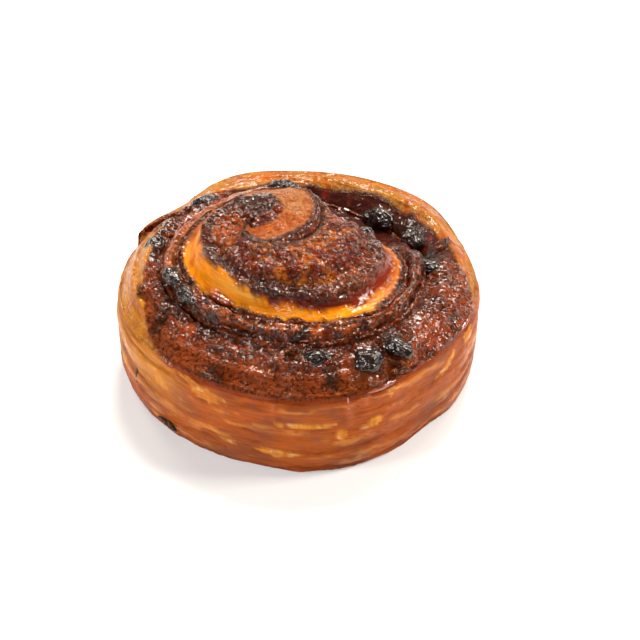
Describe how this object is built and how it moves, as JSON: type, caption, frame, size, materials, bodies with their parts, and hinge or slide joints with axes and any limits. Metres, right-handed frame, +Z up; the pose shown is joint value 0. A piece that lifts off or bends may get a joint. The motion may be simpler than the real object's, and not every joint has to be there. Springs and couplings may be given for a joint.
{
  "type": "danish pastry",
  "caption": "Glazed Danish swirl of laminated dough round a dark filling, risen into a mound, with raisins along the seam",
  "frame": {"origin": "middle of the flat base, on the surface that the pastry rests on", "axes": "+Z up through the mound, -Y towards the side that faces the picture's camera, +X to the right of that side"},
  "size_m": [0.1013, 0.0999, 0.0524],
  "materials": {
    "dough": "browned laminated dough with a thin glaze",
    "filling": "dark caramelised filling",
    "raisin": "wrinkled and glazed"
  },
  "bodies": {
    "root": {"dough": "dough", "filling": "filling", "raisin_left_end": "raisin", "raisin_left_upper": "raisin", "raisin_left_lower": "raisin", "raisin_front_sunk": "raisin", "raisin_front_round": "raisin", "raisin_front_long": "raisin", "raisin_right": "raisin", "raisin_right_upper": "raisin", "raisin_hollow": "raisin", "raisin_mound": "raisin", "raisin_back": "raisin", "raisin_back_left": "raisin"}
  },
  "joints": []
}
